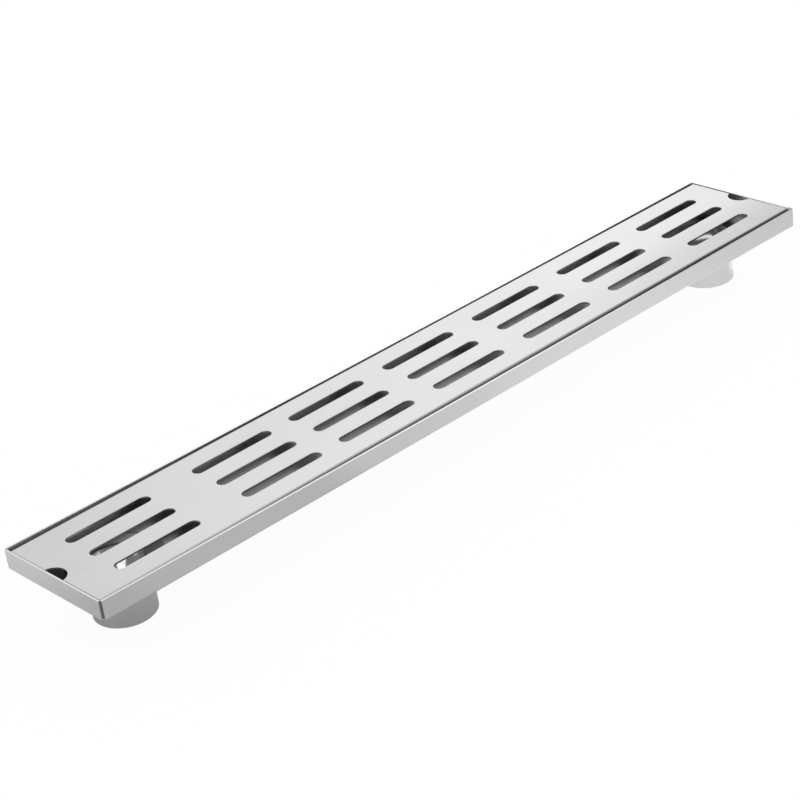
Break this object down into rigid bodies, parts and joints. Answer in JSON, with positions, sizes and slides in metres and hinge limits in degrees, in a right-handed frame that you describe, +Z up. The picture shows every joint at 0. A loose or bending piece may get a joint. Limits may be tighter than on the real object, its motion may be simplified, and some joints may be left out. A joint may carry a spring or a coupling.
{
  "type": "linear shower drain",
  "caption": "Long shallow shower drain tray folded from steel sheet, with a waste spigot under each end and a loose slotted grate with finger notches.",
  "frame": {"origin": "on the ground under the middle of the tray, level with the feet of the spigots", "axes": "+X along the drain to its right end, +Y to its back, +Z up out of the floor"},
  "size_m": [0.5, 0.076, 0.0384],
  "materials": {
    "tray_steel": "brushed along the sheet, with ground corner seams",
    "outlet_steel": "satin tube with a turned foot",
    "grate_steel": "fine brushed grain along the length"
  },
  "bodies": {
    "root": {"tray": "tray_steel", "left_outlet": "outlet_steel", "right_outlet": "outlet_steel", "grate": "grate_steel"}
  },
  "joints": []
}
